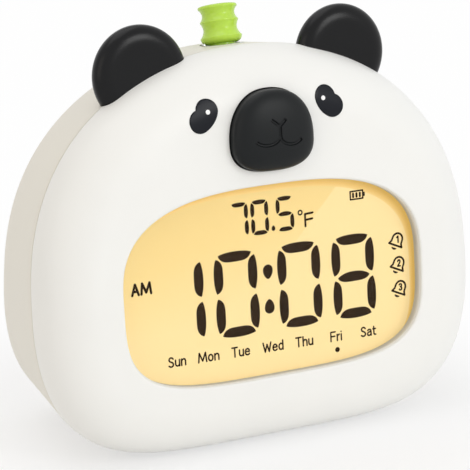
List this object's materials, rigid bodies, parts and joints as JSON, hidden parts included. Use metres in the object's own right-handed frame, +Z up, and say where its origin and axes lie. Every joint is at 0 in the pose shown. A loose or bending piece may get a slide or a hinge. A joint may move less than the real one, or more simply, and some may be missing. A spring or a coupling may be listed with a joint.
{
  "type": "alarm clock",
  "caption": "Children's alarm clock and night light shaped as a panda's head, with an amber liquid crystal display, a nose key, a green stalk button and keys on the back.",
  "frame": {"origin": "on the resting plane, under the middle of the whole object in depth and under its middle line across", "axes": "+X to the right of someone facing the display, +Y away from that viewer, +Z up"},
  "size_m": [0.13, 0.0594, 0.1155],
  "materials": {
    "shell_white": "satin",
    "shell_warm": "satin",
    "window_clear": "clear",
    "lcd_amber": "polarised",
    "diffuser_milk": "milky",
    "black_satin": "satin",
    "black_gloss": "gloss",
    "white_print": "gloss",
    "green_gloss": "gloss",
    "frame_white": "matte",
    "key_grey": "satin",
    "silicone": "matte",
    "foot_rubber": "matte",
    "circuit_board": "solder mask",
    "led_yellow": "milky",
    "chip_black": "matte",
    "plug_cream": "matte",
    "steel": "plated",
    "cone_paper": "matte",
    "cell_blue": "sleeve"
  },
  "bodies": {
    "housing": {"front_shell": "shell_white", "rear_shell": "shell_warm", "display_window": "window_clear", "lcd_panel": "lcd_amber", "diffuser": "diffuser_milk", "display_frame": "frame_white", "night_light_leds": "led_yellow", "night_light_board": "frame_white", "main_board": "circuit_board", "controller_chip": "chip_black", "board_parts": "plug_cream", "left_ear": "black_satin", "right_ear": "black_satin", "left_eye": "black_gloss", "right_eye": "black_gloss", "eye_highlights": "white_print", "nose_dome": "silicone", "nose_board": "circuit_board", "nose_bracket": "frame_white", "stalk_spring": "steel", "stalk_guide": "frame_white", "stalk_switch": "chip_black", "stalk_switch_bracket": "circuit_board", "keypad_mat": "silicone", "key_board": "circuit_board", "power_board": "circuit_board", "usb_socket": "steel", "slide_switch": "steel", "reset_switch": "chip_black", "speaker_basket": "steel", "speaker_cone": "cone_paper", "speaker_magnet": "steel", "speaker_clamps": "steel", "temperature_sensor": "circuit_board", "battery_cell": "cell_blue", "battery_holder": "chip_black", "battery_contacts": "steel", "foot_front_left": "foot_rubber", "foot_front_right": "foot_rubber", "foot_rear_left": "foot_rubber", "foot_rear_right": "foot_rubber", "case_screws": "steel", "display_screws": "steel", "board_screws": "steel", "bracket_screws": "steel", "guide_screws": "steel", "battery_screws": "steel"},
    "nose_button": {"nose_key": "black_satin"},
    "stalk_plunger": {"stalk_button": "green_gloss", "stalk_clip": "steel"},
    "stalk_switch_plunger": {"stalk_switch_stem": "plug_cream"},
    "power_slider": {"slide_knob": "chip_black"},
    "mode_button": {"mode_key": "key_grey"},
    "set_button": {"set_key": "key_grey"},
    "up_button": {"up_key": "key_grey"},
    "down_button": {"down_key": "key_grey"},
    "alarm_button": {"alarm_key": "key_grey"}
  },
  "joints": [
    {"name": "nose_press", "type": "slide", "parent": "housing", "child": "nose_button", "axis": [0, 0.9934, -0.1149], "range_m": [0, 0.001], "stiffness_N_per_m": 800, "springref_m": -0.0008, "deforming": ["nose_dome"]},
    {"name": "stalk_press", "type": "slide", "parent": "housing", "child": "stalk_plunger", "axis": [0, -0.3007, -0.9537], "range_m": [0, 0.002], "stiffness_N_per_m": 500, "springref_m": -0.0015, "deforming": ["stalk_spring"]},
    {"name": "stalk_switch_click", "type": "slide", "parent": "housing", "child": "stalk_switch_plunger", "axis": [0, -0.3007, -0.9537], "range_m": [0, 0.00025], "stiffness_N_per_m": 4000, "springref_m": -0.0001},
    {"name": "mode_press", "type": "slide", "parent": "housing", "child": "mode_button", "axis": [0, -0.993, -0.1184], "range_m": [0, 0.0008], "stiffness_N_per_m": 1000, "springref_m": -0.0006, "deforming": ["keypad_mat"]},
    {"name": "set_press", "type": "slide", "parent": "housing", "child": "set_button", "axis": [0, -0.993, -0.1184], "range_m": [0, 0.0008], "stiffness_N_per_m": 1000, "springref_m": -0.0006, "deforming": ["keypad_mat"]},
    {"name": "up_press", "type": "slide", "parent": "housing", "child": "up_button", "axis": [0, -0.993, -0.1184], "range_m": [0, 0.0008], "stiffness_N_per_m": 1000, "springref_m": -0.0006, "deforming": ["keypad_mat"]},
    {"name": "down_press", "type": "slide", "parent": "housing", "child": "down_button", "axis": [0, -0.993, -0.1184], "range_m": [0, 0.0008], "stiffness_N_per_m": 1000, "springref_m": -0.0006, "deforming": ["keypad_mat"]},
    {"name": "alarm_press", "type": "slide", "parent": "housing", "child": "alarm_button", "axis": [0, -0.993, -0.1184], "range_m": [0, 0.0008], "stiffness_N_per_m": 1000, "springref_m": -0.0006, "deforming": ["keypad_mat"]},
    {"name": "power_slide", "type": "slide", "parent": "housing", "child": "power_slider", "axis": [1, 0, 0], "range_m": [-0.003, 0]}
  ]
}
